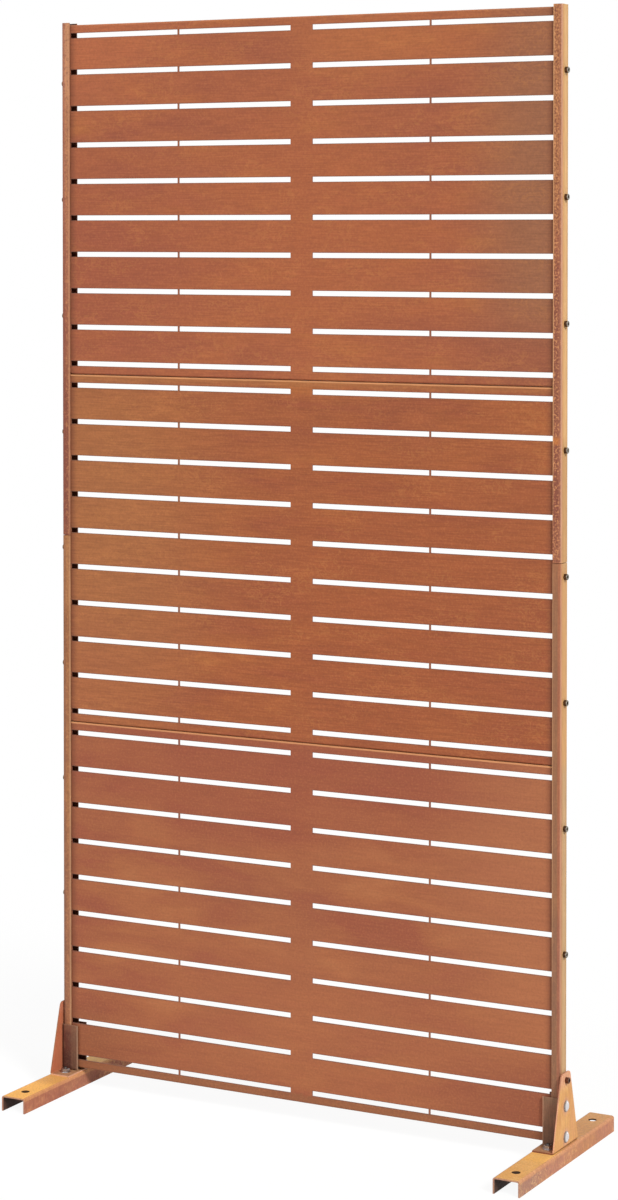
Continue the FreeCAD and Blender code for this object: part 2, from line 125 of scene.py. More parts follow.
def linear(code: str) -> Colour:
    """Turn an sRGB hex colour to linear light.

    Args:
        code: Colour such as "#b0664a".

    Returns:
        Linear red, green, blue and an alpha of one.
    """
    parts = [int(code[at:at + 2], 16) / 255 for at in (1, 3, 5)]
    red, green, blue = (
        part / 12.92 if part <= 0.04045 else ((part + 0.055) / 1.055) ** 2.4
        for part in parts
    )
    return red, green, blue, 1.0


def add_node(tree: bpy.types.NodeTree, kind: str, *inputs: Any, **settings: Any) -> Node:
    """Add a node with its settings and links.

    Args:
        tree: Tree that gets the node.
        kind: Blender's name for the type of node, after "ShaderNode".
        inputs: The first inputs in order, with None for one that stays. Each is
            a value, the socket that feeds it, or the node whose first output does.
        settings: Properties, and further inputs, by name.

    Returns:
        The new node.
    """
    node = tree.nodes.new("ShaderNode" + kind)
    for key, setting in [*settings.items(), *enumerate(inputs)]:
        if setting is None:
            continue
        if isinstance(setting, Node):
            setting = setting.outputs[0]
        if isinstance(setting, Socket):
            tree.links.new(setting, node.inputs[key])
        elif isinstance(key, str) and hasattr(node, key):
            setattr(node, key, setting)
        else:
            node.inputs[key].default_value = setting
    return node


def empty_tree(owner: bpy.types.Material | bpy.types.World) -> bpy.types.NodeTree:
    """Empty the node tree of a new material or world.

    Args:
        owner: The material or world.

    Returns:
        Its node tree.
    """
    owner.use_nodes = True
    owner.node_tree.nodes.clear()
    return owner.node_tree


@dataclass(frozen=True)
class Zone:
    """Area where a finish has another colour, with a more or less soft edge."""

    colour: str
    centre: Point
    half: Point
    amount: float = 1.0
    soft: float = 0.3
    shape: Shape = Shape.BOX


class Coat:
    """The coat of one material, laid on layer over layer."""

    def __init__(self, name: str, seed: float, first: str) -> None:
        """Start a material.

        Args:
            name: Its name.
            seed: Where all its noise starts.
            first: Colour below all layers.
        """
        self.material = bpy.data.materials.new(name)
        self.tree = empty_tree(self.material)
        self.seed = seed
        coords = add_node(self.tree, "TexCoord").outputs["Object"]
        # Place on the screen in millimetres.
        self.place = add_node(self.tree, "VectorMath", coords, operation="SCALE", Scale=1 / MM)
        self.colour: Feed | Colour = linear(first)

    def lumps(self, size: Sequence[float], shift: float, detail: float = 2.0,
              fold: float = 0.0) -> Feed:
        """Soft lumps of a real size.

        Args:
            size: Size of a lump along each axis, in millimetres.
            shift: Moves these lumps away from the material's others.
            detail: Number of finer layers.
            fold: How much the lumps fold over themselves.

        Returns:
            How high the lumps are, about one half on average.
        """
        offset = 17.3 * shift + 5.9 * self.seed
        spot = add_node(
            self.tree, "VectorMath", self.place, [1 / part for part in size],
            (offset, offset * 0.7, -offset), operation="MULTIPLY_ADD",
        )
        return add_node(self.tree, "TexNoise", spot, Scale=1.0, Detail=detail, Distortion=fold)

    def lay(self, code: str, field: Feed, start: float, end: float,
            amount: float | Feed) -> None:
        """Lay a colour over the coat so far.

        Args:
            code: The hex colour.
            field: What decides where it lies.
            start: Where the field has none of it.
            end: Where the field has all of it.
            amount: How much that is, up to one.
        """
        part = add_node(
            self.tree, "MapRange", field, start, end, 0.0, amount,
            interpolation_type="SMOOTHSTEP",
        )
        self.colour = add_node(
            self.tree, "Mix", part, *OTHER_INPUTS, self.colour, linear(code), data_type="RGBA"
        ).outputs[MIXED_COLOUR]

    def mottle(self, field: Feed, depth: float) -> None:
        """Make the coat lighter where a field is high and darker where it is low.

        Args:
            field: The field, about one half on average.
            depth: Largest change, as a share of the coat's own light.
        """
        factor = add_node(
            self.tree, "MapRange", field, 0.28, 0.72, 1 - depth, 1 + depth,
            interpolation_type="SMOOTHSTEP",
        )
        self.colour = add_node(self.tree, "VectorMath", self.colour, operation="SCALE", Scale=factor)

    def lay_zones(self, zones: Sequence[Zone], ragged_mm: float) -> None:
        """Lay zones over the coat so far.

        Args:
            zones: The zones, each over the ones before.
            ragged_mm: How far their edges wander, or zero for clean edges.
        """
        place = self.place
        if zones and ragged_mm:
            wander = add_node(self.tree, "CombineXYZ", *(
                self.lumps((ragged_mm * 2,) * 3, 5.0 + index, 3.0) for index in range(3)
            ))
            # The lumps' mean is one half, so half of their reach comes off first.
            place = add_node(self.tree, "VectorMath", place, (ragged_mm,) * 3, operation="SUBTRACT")
            place = add_node(
                self.tree, "VectorMath", wander, (ragged_mm * 2,) * 3, place,
                operation="MULTIPLY_ADD",
            )
        for zone in zones:
            part = add_node(self.tree, "VectorMath", place, zone.centre, operation="SUBTRACT")
            part = add_node(self.tree, "VectorMath", part, zone.half, operation="DIVIDE")
            if zone.shape is Shape.BALL:
                share: Feed = add_node(
                    self.tree, "VectorMath", part, operation="LENGTH"
                ).outputs["Value"]
            else:
                part = add_node(self.tree, "VectorMath", part, operation="ABSOLUTE")
                x, y, z = add_node(self.tree, "SeparateXYZ", part).outputs
                share = add_node(self.tree, "Math", x, y, operation="MAXIMUM")
                share = add_node(self.tree, "Math", share, z, operation="MAXIMUM")
            self.lay(zone.colour, share, 1 + zone.soft, 1 - zone.soft, zone.amount)

    def finish(self, field: Feed, roughness: Span, height: Feed, relief_mm: float,
               **settings: float) -> bpy.types.Material:
        """Put the coat on a shader with relief.

        Args:
            field: What the roughness follows.
            roughness: Roughness where the field is low and where it is high.
            height: Relief, where one is its full height.
            relief_mm: That height in millimetres.
            settings: Inputs of the shader that are the same all over.

        Returns:
            The finished material.
        """
        rough = add_node(self.tree, "MapRange", field, 0.3, 0.7, *roughness)
        relief = add_node(self.tree, "Bump", Strength=1.0, Distance=relief_mm * MM, Height=height)
        shader = add_node(
            self.tree, "BsdfPrincipled", self.colour, Roughness=rough, Normal=relief, **settings
        )
        add_node(self.tree, "OutputMaterial", shader)
        return self.material


@dataclass(frozen=True)
class WeatheringSteel:
    """Weathering steel: low-alloy sheet, cut and bent, left to rust outdoors.

    The patina is a thin, dense oxide. To the eye it is matte, its colour runs
    from red-brown to ochre in soft clouds, and it has a fine grain of rolling
    marks, granular specks and thin curls of fresher rust.
    """

    name: str
    red: str
    brown: str
    orange: str
    ochre: str
    shade: str
    grain: Grain = Grain.ALONG_X
    cloud_mm: Point = (170.0, 60.0, 52.0)
    shade_mm: float = 340.0
    shade_amount: float = 0.4
    # Rolling marks are some 0.3 mm wide, drawn wider so that they show.
    mark_width_mm: float = 2.4
    mark_length_mm: float = 45.0
    mark_depth: float = 0.09
    # Crystals of rust are under 0.5 mm, drawn as clusters of 2 to 5 mm.
    speck_mm: float = 3.6
    speck_amount: float = 0.17
    speck_light: str = "#bd7a50"
    speck_dark: str = "#7a4632"
    # Fresh rust creeps along thin curls in the patina, drawn 2 mm wide.
    curl: str = "#bf7c46"
    curl_mm: Point = (19.0, 14.0, 13.0)
    curl_amount: float = 0.0
    ragged_mm: float = 7.0
    # Tints lie below the specks, and faces over them.
    tints: tuple[Zone, ...] = ()
    faces: tuple[Zone, ...] = ()
    roughness: Span = (0.56, 0.74)
    relief_mm: float = 0.12
    seed: float = 0.0

    def make(self) -> bpy.types.Material:
        """Build the material.

        Returns:
            The finished material.
        """
        coat = Coat(self.name, self.seed, self.red)
        clouds = coat.lumps(self.cloud_mm, 1.0, 3.0, 0.35)
        for code, start, end in (
            (self.brown, 0.34, 0.47), (self.orange, 0.46, 0.58), (self.ochre, 0.56, 0.70)
        ):
            coat.lay(code, clouds, start, end, 1.0)
        shades = coat.lumps((self.shade_mm,) * 3, 2.0, 2.0, 0.6)
        coat.lay(self.shade, shades, 0.44, 0.66, self.shade_amount)
        coat.lay_zones(self.tints, self.ragged_mm)
        specks = coat.lumps((self.speck_mm,) * 3, 4.0)
        coat.lay(self.speck_dark, specks, 0.48, 0.36, self.speck_amount)
        coat.lay(self.speck_light, specks, 0.52, 0.64, self.speck_amount)
        if self.curl_amount:
            self.draw_curls(coat)
        coat.lay_zones(self.faces, 0.0)
        self.paint_edges(coat)
        size = [self.mark_width_mm] * 3
        size[self.grain.value] = self.mark_length_mm
        marks = coat.lumps(size, 3.0, 3.0, 0.15)
        coat.mottle(marks, self.mark_depth)
        height = add_node(coat.tree, "Math", marks, specks, operation="ADD")
        return coat.finish(
            specks, self.roughness, height, self.relief_mm,
            **{"Metallic": 0.0, "Specular IOR Level": 0.25},
        )

    def draw_curls(self, coat: Coat) -> None:
        """Draw curls of fresh rust, crowded in some places and absent in others.

        Args:
            coat: The coat so far.
        """
        crowd = add_node(
            coat.tree, "MapRange", coat.lumps((120.0, 120.0, 60.0), 10.0, 2.0, 0.4),
            0.48, 0.60, 0.0, self.curl_amount, interpolation_type="SMOOTHSTEP",
        )
        # A curl follows a line of equal height in the lumps.
        above = add_node(
            coat.tree, "Math", coat.lumps(self.curl_mm, 9.0, 2.0, 1.2), 0.5,
            operation="SUBTRACT",
        )
        line = add_node(coat.tree, "Math", above, operation="ABSOLUTE")
        coat.lay(self.curl, line, 0.055, 0.012, crowd)

    def paint_edges(self, coat: Coat) -> None:
        """Colour the edges; a plain sheet's are like its faces."""


@dataclass(frozen=True)
class TraySteel(WeatheringSteel):
    """Weathering steel of a slotted tray.

    The laser burns a thin dark line along each slot and dulls the ties between
    slots. The upper bend gets a painted highlight of lighter orange, and the
    face gets painted shade where the posts' lips shade it.
    """

    base: float = 0.0
    height: float = 608.6
    slot_inset: float = 18.55
    slot_pitch: float = 63.5
    slot_half: float = 4.25
    slot_span: Span = (20.7, 457.7)
    burn: str = "#6b4a3e"
    burn_mm: float = 1.1
    tie: str = "#6e5248"
    # Painted highlight along the upper bend, where it catches the light.
    bend_highlight: str = "#cf9364"
    bend_highlight_mm: float = 2.4
    worn_amount: float = 0.75
    # Painted shade on the face by the posts, where their lips shade it.
    corner: str = "#74422d"
    post_shade_span: Span = (443.0, 459.0)

    def paint_edges(self, coat: Coat) -> None:
        """Burn the slots' edges and ties, paint a highlight on the upper bend and shade at the ends.

        Args:
            coat: The coat so far.
        """
        tree = coat.tree
        across, _, up = add_node(tree, "SeparateXYZ", coat.place).outputs
        away = add_node(tree, "Math", across, operation="ABSOLUTE")
        rise = add_node(tree, "Math", up, self.base + self.slot_inset, operation="SUBTRACT")
        # Distance from the middle of the nearest row of slots.
        near = add_node(tree, "Math", rise, self.slot_pitch / 2, operation="PINGPONG")
        half = self.burn_mm / 2
        line = add_node(tree, "Math", near, self.slot_half + half, half, operation="COMPARE")
        opening = add_node(tree, "Math", near, self.slot_half - 0.2, operation="LESS_THAN")
        first, last = self.slot_span
        within = add_node(
            tree, "Math", away, (first + last) / 2, (last - first) / 2, operation="COMPARE"
        )
        # Painted shade near the posts, where their lips shade the face.
        coat.lay(self.corner, away, *self.post_shade_span, 0.75)
        for code, rows, amount in ((self.burn, line, 0.6), (self.tie, opening, 0.42)):
            part = add_node(tree, "Math", rows, within, operation="MULTIPLY")
            coat.lay(code, part, 0.0, 1.0, amount)
        # Painted highlight along the upper bend.
        top = self.base + self.height
        coat.lay(self.bend_highlight, up, top - self.bend_highlight_mm * 1.3, top - self.bend_highlight_mm * 0.9,
                 self.worn_amount)


@dataclass(frozen=True)
class PlatedSteel:
    """Plated or blackened steel of a bolt: cold-headed, rolled, then dipped.

    The plating is thin and even. To the eye it is a soft metal with a cloudy
    sheen, browned by rust dust in places, with painted light and shade in others.
    """

    name: str
    colour: str
    stain: str
    roughness: Span
    stain_amount: float
    zones: tuple[Zone, ...] = ()
    # The real clouds are a few tenths of a millimetre, drawn so that they show.
    cloud_mm: float = 2.2
    relief_mm: float = 0.03
    seed: float = 20.0

    def make(self) -> bpy.types.Material:
        """Build the material.

        Returns:
            The finished material.
        """
        coat = Coat(self.name, self.seed, self.colour)
        clouds = coat.lumps((self.cloud_mm,) * 3, 1.0, 3.0, 0.4)
        coat.lay_zones(self.zones, 0.0)
        coat.lay(self.stain, clouds, 0.42, 0.68, self.stain_amount)
        return coat.finish(clouds, self.roughness, clouds, self.relief_mm, Metallic=1.0)


# --------------------------------------------------------------- mesh making

Measure = float | Callable[[float], float]
Profile = list[tuple[Measure, Measure]]

# Share of a hexagon's width across flats that its chamfer leaves as a flat disc's
# radius, and the slope of that chamfer.
FACE_SHARE = 0.475
CHAMFER_SLOPE = math.tan(math.radians(30))
SHARP_ANGLE = math.radians(32)


def add_object(name: str, data: bpy.types.ID) -> bpy.types.Object:
    """Add an object to the scene.

    Args:
        name: Name of the object.
        data: Its mesh, camera or light.

    Returns:
        The object.
    """
    item = bpy.data.objects.new(name, data)
    bpy.context.scene.collection.objects.link(item)
    return item


def around(radius: float, angle: float, height: float) -> Vector:
    """Point at a distance and an angle round the upright axis."""
    return Vector((radius * math.cos(angle), radius * math.sin(angle), height))


def measured(measure: Measure, angle: float) -> float:
    """Value of a measure that may depend on the angle round the axis."""
    return measure(angle) if callable(measure) else measure


def hexagon(flats: float) -> Callable[[float], float]:
    """Distance from the axis to a hexagon's side by the angle, from its flats' width."""
    sector = math.pi / 3
    return lambda angle: flats / 2 / math.cos(angle % sector - sector / 2)


def square(flats: float, corner: float) -> Callable[[float], float]:
    """Distance from the axis to a square's side by the angle, up to a blunt corner."""
    sector = math.pi / 2
    return lambda angle: min(flats / 2 / math.cos(angle % sector - sector / 2), corner)


def knurl(radius: float, depth: float, teeth: int) -> Callable[[float], float]:
    """Distance from the axis to a knurled side with a number of teeth."""
    return lambda angle: radius - depth * (0.5 - 0.5 * math.cos(teeth * angle))


@dataclass(frozen=True)
class Thread:
    """Metric thread: its radii and pitch, and how the shank's end narrows.

    The end is narrower by the tip, the thread starts a lead above it, and the
    fit is the gap to a nut's bore.
    """

    crest: float
    core: float
    pitch: float
    tip: float
    lead: float
    fit: float = 0.1


M6 = Thread(crest=3.0, core=2.42, pitch=1.0, tip=0.5, lead=0.3)
M8 = Thread(crest=4.0, core=3.24, pitch=1.25, tip=0.6, lead=0.4)


class Skin:
    """Faces of one fastener about its own axis, in millimetres."""

    def __init__(self, steps: int) -> None:
        """Start a skin without faces.

        Args:
            steps: Number of points in each ring.
        """
        self.steps = steps
        self.points: list[Vector] = []
        self.faces: list[tuple[int, ...]] = []

    def loft(self, profile: Profile, closed: bool = False) -> None:
        """Skin rings one after another.

        Args:
            profile: Radius and height of each ring.
            closed: Whether the last ring joins the first, as round a bore.
                Otherwise the first and last rings are capped.
        """
        first = len(self.points)
        angles = [math.tau * step / self.steps for step in range(self.steps)]
        for radius, height in profile:
            self.points += [
                around(measured(radius, angle), angle, measured(height, angle))
                for angle in angles
            ]
        rows = len(profile)
        for row in range(rows if closed else rows - 1):
            low = first + row * self.steps
            high = first + (row + 1) % rows * self.steps
            for step in range(self.steps):
                after = (step + 1) % self.steps
                self.faces.append((low + step, low + after, high + after, high + step))
        if not closed:
            last = first + (rows - 1) * self.steps
            self.faces.append(tuple(range(first + self.steps - 1, first - 1, -1)))
            self.faces.append(tuple(range(last, last + self.steps)))

    def wind(self, thread: Thread, start: float, end: float) -> None:
        """Wind a helical thread whose root lies just inside the core.

        Args:
            thread: Its sizes.
            start: Lower end along the axis.
            end: Upper end along the axis.
        """
        per_turn = 20
        root = thread.core - 0.06
        low_tip = root + 0.1
        base = 0.42 * thread.pitch
        length = end - start - 2 * base
        count = max(int(length / thread.pitch * per_turn), per_turn)
        first = len(self.points)
        for step in range(count + 1):
            angle = math.tau * step / per_turn
            height = start + base + length * step / count
            # The crest rises over a third of a turn at both ends.
            fade = min(1.0, 3 * step / per_turn, 3 * (count - step) / per_turn)
            tip = low_tip + (thread.crest - low_tip) * fade
            for radius, lift in ((root, -base), (root, base), (tip, 0.0)):
                self.points.append(around(radius, angle, height + lift))
        for step in range(count):
            here = first + 3 * step
            for side in range(3):
                after = (side + 1) % 3
                self.faces.append((here + side, here + 3 + side, here + 3 + after, here + after))
        last = first + 3 * count
        self.faces.append((first, first + 1, first + 2))
        self.faces.append((last + 2, last + 1, last))

    def bolt(self, thread: Thread, length: float, head: Profile, neck: float = 0.0) -> Skin:
        """Threaded shank with a head, whose seat is at height zero.

        Args:
            thread: The shank's thread.
            length: From the seat to the shank's end.
            head: Rings of the neck and head, from below.
            neck: Height of the neck between shank and seat.

        Returns:
            This skin.
        """
        self.loft([
            (thread.core - thread.tip, -length), (thread.core, -length + thread.tip + 0.1),
            (thread.core, -neck - 0.6), (thread.crest, -neck), *head,
        ])
        self.wind(thread, -length + thread.lead, -neck - 0.8)
        return self

    def place(self, name: str, places: Sequence[Matrix], material: bpy.types.Material,
              slot: str, *nodes: str) -> None:
        """Make one piece of separate copies of this skin and tie it to the frame.

        Args:
            name: Name of the piece.
            places: Where each copy stands on the screen, in millimetres.
            material: Finish of the piece.
            slot: Material slot of the record; not used.
            nodes: Nodes of the frame that it stands for.
        """
        points: list[Vector] = []
        faces: list[tuple[int, ...]] = []
        for place in places:
            first = len(points)
            points += [(place @ point) * MM for point in self.points]
            faces += [tuple(first + corner for corner in face) for face in self.faces]
        mesh = bpy.data.meshes.new(name)
        mesh.from_pydata(points, [], faces)
        mesh.validate()
        mesh.shade_smooth()
        mesh.set_sharp_from_angle(angle=SHARP_ANGLE)
        mesh.materials.append(material)
        piece = add_object(name, mesh)
        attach(piece, "root")
        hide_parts(*nodes)
        LOG.info("%s: %d faces, for %s", name, len(mesh.polygons), ", ".join(nodes))


def hexagon_nut(flats: float, height: float, thread: Thread, flange: float = 0.0) -> Skin:
    """Hexagon nut below height zero, chamfered at both ends.

    Args:
        flats: Width across flats.
        height: Height of the nut.
        thread: Thread that it takes.
        flange: Radius of a flange at its seat, or zero for none.

    Returns:
        The nut.
    """
    side = hexagon(flats)
    face = FACE_SHARE * flats
    bore = thread.crest + thread.fit
    lead = 0.6
    profile: Profile = [
        (bore, -height + lead), (bore + lead, -height), (face, -height),
        (side, lambda angle: (side(angle) - face) * CHAMFER_SLOPE - height),
    ]
    if flange:
        profile += [
            (side, -1.9), (flange - 0.5, -1.15), (flange - 0.1, -0.95), (flange, -0.7),
            (flange, -0.2), (flange - 0.15, 0.0),
        ]
    else:
        profile += [(side, lambda angle: (face - side(angle)) * CHAMFER_SLOPE), (face, 0.0)]
    skin = Skin(72)
    skin.loft(profile + [(bore + lead, 0.0), (bore, -lead)], closed=True)
    return skin


OUTWARD = Matrix.Rotation(math.pi / 2, 4, "Y")
DOWNWARD = Matrix.Rotation(math.pi, 4, "X")
FLAT_DOWN = math.radians(30)


def facing(side: Side, spot: Point, turn: Matrix, spin: float) -> Matrix:
    """Place of a fastener that is drawn standing up.

    Args:
        side: End of the screen.
        spot: Where its seat is, for the right side, in millimetres.
        turn: Turns it from standing to its direction, for the right side.
        spin: Turn about its own axis, in radians.

    Returns:
        The place as a matrix in millimetres.
    """
    return (
        Matrix.Rotation(side.value, 4, "Z")
        @ Matrix.Translation(Vector(spot))
        @ turn
        @ Matrix.Rotation(spin, 4, "Z")
    )


def dress(node: str, finish: WeatheringSteel) -> None:
    """Give a sheet piece of the frame its finish.

    Args:
        node: Name of the piece's node.
        finish: How it is finished.
    """
    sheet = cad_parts[node]
    sheet.data.materials.clear()
    sheet.data.materials.append(finish.make())
    LOG.info("%s: finish %s", node, finish.name)


# ------------------------------------------------------------ sub-assemblies

def cloud(colour: str, x: float, z: float, wide: float, high: float, amount: float) -> Zone:
    """Soft cloud on a tray, given by its centre, its half sizes and its amount."""
    return Zone(colour, (x, 0.0, z), (wide, 200.0, high), amount, 0.7, Shape.BALL)


def tray_inside_shade(middle: float) -> tuple[Zone, ...]:
    """Painted shade on the inner sides of a tray's end flanges, as dark as inside the posts."""
    return tuple(
        Zone("#3b302b", (side.sign * 470.0, 1.8, middle), (8.0, 9.4, 400.0), 0.92, 0.02)
        for side in Side
    )


@dataclass
class Trays:
    """The three slotted trays, each cut from its own sheet."""

    top: TraySteel = TraySteel(
        "weathering_steel_top_tray", base=reach("top_panel", 2, 0), seed=1.0, curl_amount=0.22,
        red="#97533a", brown="#9f593b", orange="#a35c3a", ochre="#aa643a", shade="#98573f",
        worn_amount=0.15,
        tints=(
            cloud("#926044", 470.0, 1560.0, 130.0, 420.0, 0.9),
            cloud("#99523a", -400.0, 1450.0, 190.0, 160.0, 0.7),
            cloud("#a75d38", 20.0, 1490.0, 230.0, 260.0, 0.6),
            cloud("#b06440", -420.0, 1840.0, 150.0, 100.0, 0.75),
            cloud("#b0683c", 150.0, 1820.0, 160.0, 50.0, 0.6),
            cloud("#944f38", 410.0, 1275.0, 130.0, 70.0, 0.6),
        ),
        faces=tray_inside_shade(1557.0),
    )
    middle: TraySteel = TraySteel(
        "weathering_steel_middle_tray", base=reach("middle_panel", 2, 0), seed=2.0,
        red="#955033", brown="#9c5733", orange="#a15b34", ochre="#a96336", shade="#965437",
        mark_depth=0.11, curl_amount=0.22,
        tints=(
            cloud("#a1663d", -450.0, 1000.0, 230.0, 330.0, 0.8),
            cloud("#a1603d", -470.0, 720.0, 190.0, 130.0, 0.5),
            cloud("#9b5230", 190.0, 820.0, 260.0, 300.0, 0.55),
            Zone("#a5693e", (0.0, 0.0, 1251.0), (FAR, FAR, 9.0), 0.6, 0.4),
        ),
        faces=tray_inside_shade(947.4),
    )
    bottom: TraySteel = TraySteel(
        "weathering_steel_bottom_tray", base=reach("bottom_panel", 2, 0), seed=3.0,
        red="#95523a", brown="#9c5b3c", orange="#a2613e", ochre="#a96943", shade="#97593d",
        mark_depth=0.05, shade_mm=150.0,
        tints=(
            cloud("#954f38", -40.0, 600.0, 380.0, 130.0, 0.7),
            cloud("#a96946", 460.0, 420.0, 170.0, 260.0, 0.8),
            cloud("#a76542", 60.0, 170.0, 330.0, 110.0, 0.5),
            cloud("#8b5238", -460.0, 60.0, 130.0, 80.0, 0.8),
            cloud("#90523a", 450.0, 70.0, 150.0, 80.0, 0.8),
            Zone("#8b593b", (0.0, 0.0, 34.0), (FAR, FAR, 13.5), 0.75, 0.2),
        ),
        faces=tray_inside_shade(338.0),
    )

    def build(self) -> None:
        """Dress each tray."""
        for row in ("top", "middle", "bottom"):
            dress(f"{row}_panel", getattr(self, row))


# A strip on a post's front: its colour, its inner and outer distance from the
# screen's middle, its lower and upper height, its amount and its softness.
Strip = tuple[str, Span, Span, float, float]
FRONT = -13.0
WHOLE_FRONT = (457.5, POST_WEB + 1.0)
UPPER = (950.0, 2100.0)
LOWER = (-300.0, 969.3)


@dataclass(frozen=True)
class Section:
    """Rust of one section of a post: grainy in front, lighter ochre outside, partly painted light."""

    side: Side
    name: str
    seed: float
    # Red, brown, orange, ochre and shade.
    colours: tuple[str, str, str, str, str]
    specks: float
    # The outer face, painted lighter partly as painted light, the pale line along its middle and the
    # strip by its corner.
    outer: tuple[str, str, str]
    # Below the specks and over them.
    tints: tuple[Strip, ...]
    faces: tuple[Strip, ...]
    # Patches of the outer face: colour, height, half height, amount and softness.
    patches: tuple[tuple[str, float, float, float, float], ...] = ()

    def strips(self, rows: Sequence[Strip]) -> tuple[Zone, ...]:
        """Zones of strips on the section's front."""
        return tuple(
            Zone(
                colour, (self.side.sign * (inner + outer) / 2, FRONT, (low + high) / 2),
                ((outer - inner) / 2, 3.4, (high - low) / 2), amount, soft,
            )
            for colour, (inner, outer), (low, high), amount, soft in rows
        )

    def finish(self) -> WeatheringSteel:
        """Put the section's zones on its finish.

        Returns:
            The finish.
        """
        face, pale, strip = self.outer
        web = self.side.sign * (POST_WEB + 1.6)
        outside = [
            Zone(colour, (web, depth, 950.0), (2.4, wide, FAR), amount, soft)
            for colour, depth, wide, amount, soft in (
                (face, 0.5, 12.6, 0.93, 0.06), (pale, 1.0, 4.0, 0.5, 0.6),
                (strip, FRONT + 2.0, 3.2, 0.6, 0.4), ("#ae8a62", -FRONT, 4.0, 0.72, 0.3),
            )
        ] + [
            Zone(colour, (web, 0.5, height), (2.4, 12.6, half), amount, soft)
            for colour, height, half, amount, soft in self.patches
        ]
        # Painted shade inside the channel, between its lips.
        inside = Zone("#4b372c", (self.side.sign * 465.0, 0.0, 950.0), (7.0, 11.2, FAR), 0.85, 0.01)
        return WeatheringSteel(
            f"weathering_steel_{self.side.word}_{self.name}_post", *self.colours,
            Grain.ALONG_Z, cloud_mm=(30.0, 30.0, 90.0), mark_length_mm=40.0,
            mark_width_mm=2.2, mark_depth=0.10, speck_mm=3.4, speck_amount=self.specks,
            speck_light="#c98a5c", speck_dark="#7b4735", ragged_mm=1.6, seed=self.seed,
            tints=self.strips(self.tints),
            faces=(*outside, *self.strips(self.faces), inside),
        )


@dataclass
class Posts:
    """The four channel sections that make up the two posts."""

    # The outer face is painted lighter than the front, partly as painted light.
    upper_outer: tuple[str, str, str] = ("#d3a36b", "#deb37d", "#c98546")
    lower_outer: tuple[str, str, str] = ("#bf976a", "#c4a47d", "#a86f48")

    def sections(self) -> tuple[Section, ...]:
        """List the sections, each with the colours of its own heights.

        Returns:
            The four sections.
        """
        return (
            Section(
                Side.RIGHT, "upper", 4.0,
                ("#965541", "#9c5d43", "#a26547", "#ab7048", "#94583f"), 0.85, self.upper_outer,
                tints=(
                    ("#aa7047", WHOLE_FRONT, (1500.0, 2100.0), 0.75, 0.3),
                    ("#8b523f", WHOLE_FRONT, (1175.0, 1420.0), 0.75, 0.3),
                    ("#834a3b", WHOLE_FRONT, (900.0, 1158.0), 0.8, 0.1),
                    ("#a3674a", WHOLE_FRONT, (960.0, 1035.0), 0.7, 0.3),
                ),
                faces=(
                    ("#c4763a", WHOLE_FRONT, (1160.0, 1172.0), 0.65, 0.45),
                    ("#a56b52", (468.5, 473.0), UPPER, 0.4, 0.4),
                    ("#d09a6a", (457.0, 460.2), (1085.0, 2100.0), 0.65, 0.2),
                    # Painted highlight on the outer bend.
                    ("#be9179", (472.0, 475.4), UPPER, 0.65, 0.2),
                ),
                patches=(("#b58758", 1050.0, 110.0, 0.6, 0.2),),
            ),
            Section(
                Side.RIGHT, "lower", 5.0,
                ("#995f42", "#a06644", "#a46a45", "#ac7049", "#98624a"), 0.22, self.lower_outer,
                tints=(
                    ("#87594a", WHOLE_FRONT, (220.0, 400.0), 0.7, 0.4),
                    ("#8d604a", WHOLE_FRONT, (-300.0, 220.0), 0.7, 0.3),
                ),
                faces=(
                    ("#84644a", (456.0, 468.0), LOWER, 0.5, 0.2),
                    ("#9e5f49", (467.5, 473.0), LOWER, 0.4, 0.3),
                    ("#b98a63", (457.0, 460.0), (330.0, 969.3), 0.6, 0.2),
                    # Painted highlight on the outer bend.
                    ("#b9876e", (472.0, 475.4), (150.0, 969.3), 0.6, 0.2),
                    ("#4c2b1e", (471.5, 476.0), (-300.0, 143.0), 0.85, 0.2),
                ),
                patches=(("#cf985d", 805.0, 165.0, 0.6, 0.12),),
            ),
            Section(
                Side.LEFT, "upper", 6.0,
                ("#935641", "#9a5d44", "#a06446", "#a96f4b", "#905442"), 0.45, self.upper_outer,
                tints=(
                    ("#c48a66", WHOLE_FRONT, (1720.0, 2100.0), 0.85, 0.2),
                    ("#ae7454", WHOLE_FRONT, (1580.0, 1720.0), 0.6, 0.3),
                    ("#ac6e52", WHOLE_FRONT, (1380.0, 1560.0), 0.6, 0.3),
                    ("#7f4737", WHOLE_FRONT, (900.0, 1250.0), 0.75, 0.2),
                ),
                faces=(
                    ("#80463a", (467.0, 476.0), (950.0, 1500.0), 0.6, 0.25),
                    ("#93564a", (468.0, 476.0), (1500.0, 2100.0), 0.5, 0.25),
                    ("#bd8763", (457.0, 461.4), UPPER, 0.55, 0.3),
                ),
            ),
            Section(
                Side.LEFT, "lower", 7.0,
                ("#986340", "#9f6941", "#a36d43", "#ab7547", "#956246"), 0.28, self.lower_outer,
                tints=(
                    ("#a9744b", WHOLE_FRONT, (850.0, 969.3), 0.7, 0.3),
                    ("#956349", WHOLE_FRONT, (-300.0, 420.0), 0.7, 0.3),
                ),
                faces=(
                    ("#7f5442", (468.0, 476.0), LOWER, 0.5, 0.25),
                    ("#bb8f6b", (457.0, 461.0), LOWER, 0.55, 0.3),
                    ("#4c2a20", (472.0, 476.0), (-300.0, 143.0), 0.8, 0.2),
                ),
            ),
        )

    def build(self) -> None:
        """Dress the four sections."""
        for section in self.sections():
            dress(f"{section.side.word}_{section.name}_post", section.finish())


